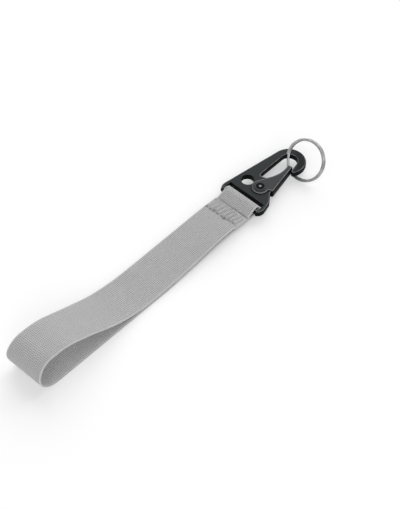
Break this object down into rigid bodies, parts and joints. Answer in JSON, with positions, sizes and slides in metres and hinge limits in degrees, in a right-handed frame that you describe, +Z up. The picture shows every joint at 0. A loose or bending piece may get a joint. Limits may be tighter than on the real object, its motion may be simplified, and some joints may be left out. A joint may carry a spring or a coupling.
{
  "type": "belt key clip",
  "caption": "Key clip: a looped webbing strap sewn to the bar of a flat snap hook with a sprung riveted gate, and a split key ring hanging in the hook's eye.",
  "frame": {"origin": "on the resting surface, under the middle of the strap's flat stretch", "axes": "+X along the strap towards the hook, +Y across the strap, +Z up"},
  "size_m": [0.2175, 0.0385, 0.0235],
  "materials": {
    "webbing": "woven, fine crosswise ribs",
    "thread": "twisted thread",
    "hook_black": "satin black coating on die-cast zinc",
    "gate_black": "satin black coating on folded steel",
    "rivet_steel": "blackened, worn bright on the rolled edge",
    "spring_steel": "drawn wire",
    "ring_steel": "nickel-plated steel"
  },
  "bodies": {
    "strap": {"webbing_strap": "webbing", "needle_thread_front": "thread", "bobbin_thread_front": "thread", "needle_thread_back": "thread", "bobbin_thread_back": "thread"},
    "hook": {"hook_plate": "hook_black", "pivot_rivet": "rivet_steel", "gate_spring": "spring_steel"},
    "gate": {"gate": "gate_black"},
    "ring": {"split_ring": "ring_steel"}
  },
  "joints": [
    {"name": "hook_swing", "type": "hinge", "parent": "strap", "child": "hook", "pos_m": [0.11375, 0, 0.0059], "axis": [0, -1, 0], "range_deg": [-110, 135]},
    {"name": "gate_hinge", "type": "hinge", "parent": "hook", "child": "gate", "pos_m": [0.12775, -0.0024, 0.0059], "axis": [0, 0, 1], "range_deg": [0, 20], "stiffness_Nm_per_rad": 0.1, "springref_deg": -22.92, "deforming": ["gate_spring"]},
    {"name": "ring_swing", "type": "hinge", "parent": "hook", "child": "ring", "pos_m": [0.15633, 0.00043, 0.0059], "axis": [0, 1, 0], "range_deg": [-70, 1]}
  ]
}
